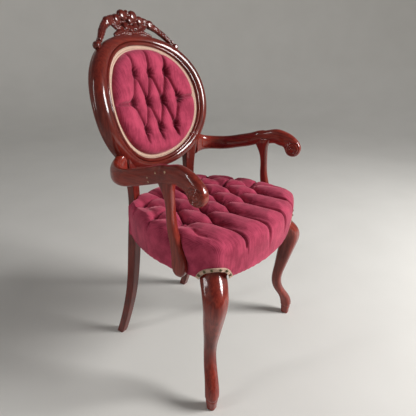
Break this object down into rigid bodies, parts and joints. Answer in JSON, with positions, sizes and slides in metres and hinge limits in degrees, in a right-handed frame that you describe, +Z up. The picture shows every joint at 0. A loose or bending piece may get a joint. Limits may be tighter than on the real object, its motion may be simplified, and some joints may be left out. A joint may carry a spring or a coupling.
{
  "type": "upholstered open armchair",
  "caption": "Open armchair with a carved oval back, tufted velvet back and seat, rolled arms, cabriole front legs and swept rear legs.",
  "frame": {"origin": "on the floor, midway between the sides and at mid-depth of the whole chair", "axes": "+Z up, +Y to the rear, +X to the sitter's left"},
  "size_m": [0.5956, 0.5666, 1.037],
  "materials": {
    "mahogany": "dark reddish mahogany, polished with a glossy clear coat, a little worn at the edges",
    "frame_wood": "plain sawn hardwood",
    "velvet": "burgundy velvet with a fine rib and a soft sheen",
    "gimp": "cream woven braid",
    "jute": "natural jute weave",
    "dust_cloth": "thin black cloth",
    "screw_steel": "plain steel",
    "dark_brass": "dark antique brass"
  },
  "bodies": {
    "root": {"arm_dowels": "frame_wood", "arm_left": "mahogany", "arm_right": "mahogany", "arm_support_left": "mahogany", "arm_support_right": "mahogany", "back_base_rail": "mahogany", "back_buttons": "velvet", "back_cushion": "velvet", "back_dowels": "frame_wood", "back_gimp": "gimp", "back_panel": "jute", "back_rail": "frame_wood", "block_screws": "screw_steel", "corner_block_front_left": "frame_wood", "corner_block_front_right": "frame_wood", "corner_block_rear_left": "frame_wood", "corner_block_rear_right": "frame_wood", "crest_carving": "mahogany", "crest_rail": "mahogany", "dust_cover": "dust_cloth", "front_leg_left": "mahogany", "front_leg_right": "mahogany", "front_rail": "frame_wood", "gimp_nails": "dark_brass", "knee_gimp_left": "gimp", "knee_gimp_right": "gimp", "outside_back": "velvet", "outside_back_gimp": "gimp", "rail_dowels": "frame_wood", "rear_leg_left": "mahogany", "rear_leg_right": "mahogany", "seat_burlap": "jute", "seat_buttons": "velvet", "seat_cushion": "velvet", "seat_webbing": "jute", "side_rail_left": "frame_wood", "side_rail_right": "frame_wood", "support_screws": "screw_steel"}
  },
  "joints": []
}
